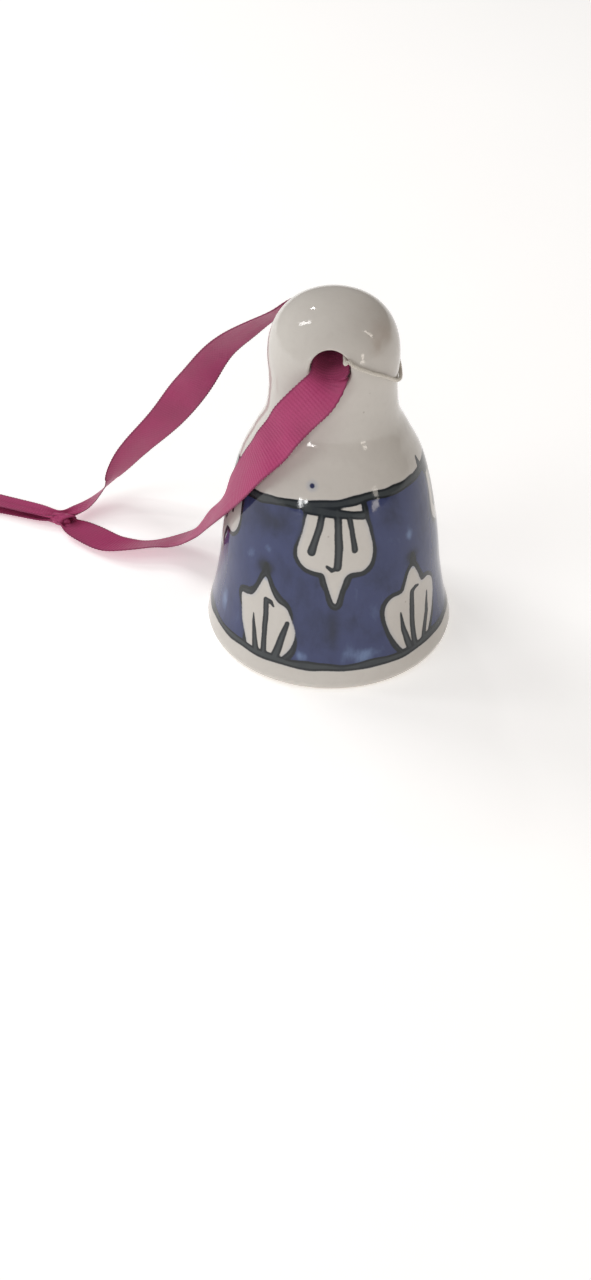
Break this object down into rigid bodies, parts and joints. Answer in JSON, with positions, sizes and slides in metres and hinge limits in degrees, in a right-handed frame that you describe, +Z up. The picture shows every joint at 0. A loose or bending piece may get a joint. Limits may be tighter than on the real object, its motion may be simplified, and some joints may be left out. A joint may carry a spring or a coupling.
{
  "type": "porcelain bell",
  "caption": "Hand-painted porcelain bell with a round knob, a satin ribbon tied through two holes and a bead clapper on a thread.",
  "frame": {"origin": "centre of the mouth, on the plane that the rim stands on", "axes": "+Z up along the bell's axis, the two ribbon holes on a line along Y, the ribbon lies towards -X"},
  "size_m": [0.1038, 0.0585, 0.0655],
  "materials": {
    "porcelain": "white glaze over cobalt blue painting",
    "ribbon": "magenta satin ribbon",
    "thread": "white twisted cotton thread",
    "bead": "white glaze"
  },
  "bodies": {
    "bell": {"bell_body": "porcelain", "ribbon_front": "ribbon", "ribbon_back": "ribbon", "ribbon_knot": "ribbon", "thread_loop": "thread"},
    "clapper_swivel": {"thread_tie": "thread"},
    "clapper": {"clapper_thread": "thread", "clapper_bead": "bead", "stop_knot": "thread"}
  },
  "joints": [
    {"name": "clapper_turn", "type": "hinge", "parent": "bell", "child": "clapper_swivel", "pos_m": [0, 0, 0.046], "axis": [0, 0, 1], "continuous": true},
    {"name": "clapper_swing", "type": "hinge", "parent": "clapper_swivel", "child": "clapper", "pos_m": [0, 0, 0.046], "axis": [1, 0, 0], "range_deg": [-20, 20]}
  ]
}
